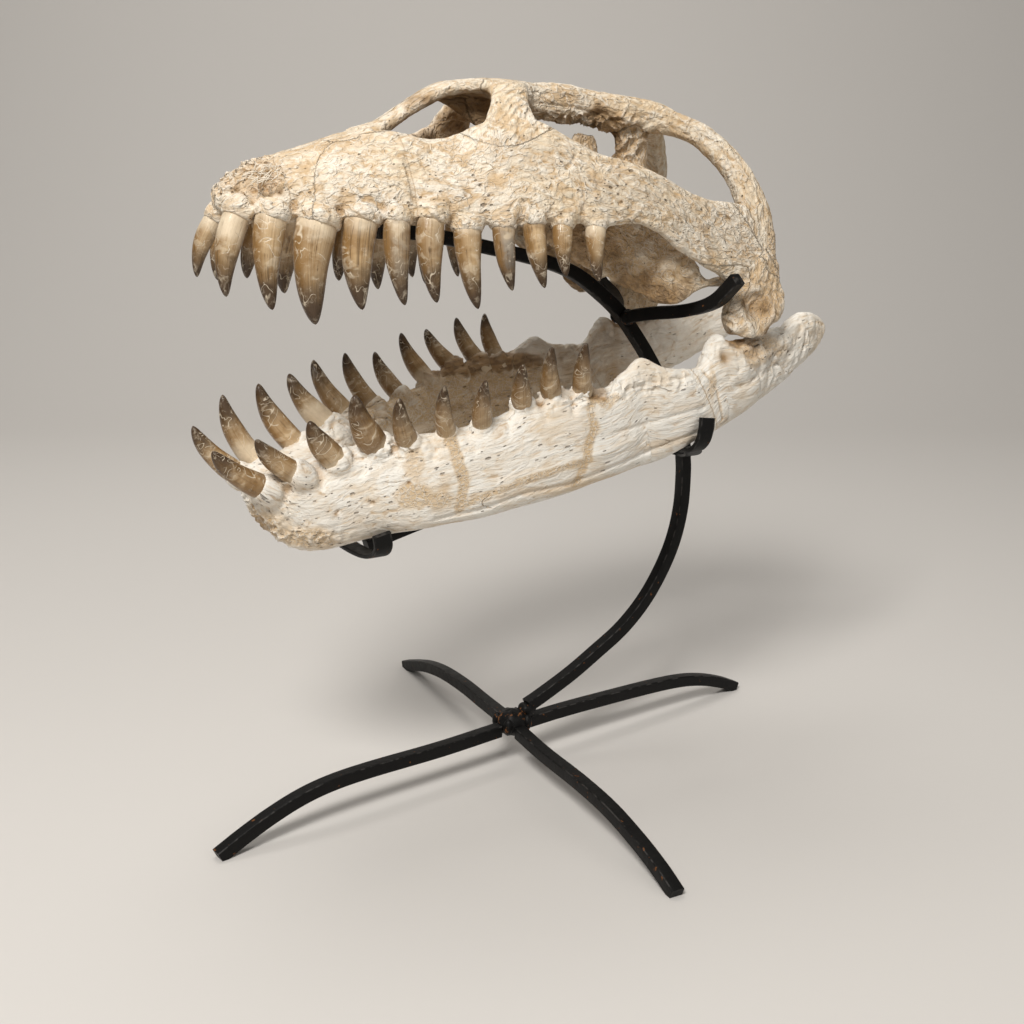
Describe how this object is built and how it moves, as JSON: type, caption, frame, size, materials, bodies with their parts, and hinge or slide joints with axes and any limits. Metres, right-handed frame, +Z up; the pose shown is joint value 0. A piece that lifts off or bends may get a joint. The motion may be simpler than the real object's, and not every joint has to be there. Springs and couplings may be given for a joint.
{
  "type": "plesiosaur skull fossil on stand",
  "caption": "Life-size fossil skull of a long-necked plesiosaur with open jaws and interlocking fangs, held on a forged black steel stand with curved legs.",
  "frame": {"origin": "on the floor under the middle of the piece, below the crossing of the stand's legs", "axes": "-X the way the snout points, +X the back of the skull, -Y the animal's left side, +Z up; the skull's plane of symmetry is y = 0"},
  "size_m": [0.5002, 0.4441, 0.5037],
  "materials": {
    "fossil_bone": "matte",
    "black_steel": "satin"
  },
  "bodies": {
    "root": {"premaxillae": "fossil_bone", "frontal_roof": "fossil_bone", "parietal_crest": "fossil_bone", "palate_and_braincase": "fossil_bone", "snout_left": "fossil_bone", "snout_right": "fossil_bone", "upper_jaw_left": "fossil_bone", "upper_jaw_right": "fossil_bone", "postorbital_left": "fossil_bone", "postorbital_right": "fossil_bone", "cheek_left": "fossil_bone", "cheek_right": "fossil_bone", "pterygoid_left": "fossil_bone", "pterygoid_right": "fossil_bone", "squamosal_arch_left": "fossil_bone", "squamosal_arch_right": "fossil_bone", "quadrate_left": "fossil_bone", "quadrate_right": "fossil_bone", "lower_jaw_left": "fossil_bone", "lower_jaw_right": "fossil_bone", "jaw_hinge_left": "fossil_bone", "jaw_hinge_right": "fossil_bone", "stand_hub": "black_steel", "stand_post": "black_steel", "stand_upper_arm": "black_steel", "stand_front_arm": "black_steel", "stand_rear_cradle": "black_steel", "stand_front_cradle": "black_steel", "stand_fork_left": "black_steel", "stand_fork_right": "black_steel", "stand_leg_front": "black_steel", "stand_leg_back": "black_steel", "stand_leg_left": "black_steel", "stand_leg_right": "black_steel"}
  },
  "joints": []
}
